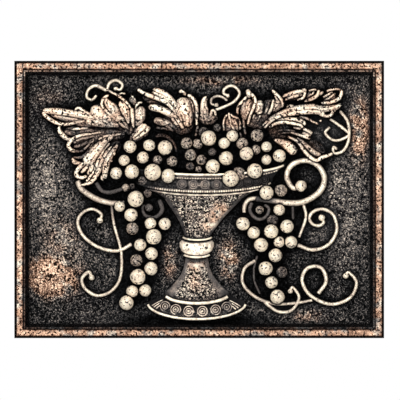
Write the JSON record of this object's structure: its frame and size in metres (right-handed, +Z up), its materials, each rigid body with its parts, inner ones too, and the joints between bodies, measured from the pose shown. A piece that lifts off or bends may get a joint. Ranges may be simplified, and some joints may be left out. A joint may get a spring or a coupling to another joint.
{
  "type": "metal wall plaque",
  "caption": "Rectangular cast metal wall plaque in landscape format, its raised frame holding a high relief of a footed urn heaped with grapes and vine leaves.",
  "frame": {"origin": "middle of the flat back, where it meets the wall", "axes": "as it hangs: +X right along the width as seen from the front, +Z up, +Y out of the back into the wall, the relief facing -Y"},
  "size_m": [0.4064, 0.0265, 0.3048],
  "materials": {
    "aged_copper": "aged copper, near black in the recesses and on the speckled field, rubbed to pale copper on the raised relief and the frame"
  },
  "bodies": {
    "root": {"plaque": "aged_copper"}
  },
  "joints": []
}
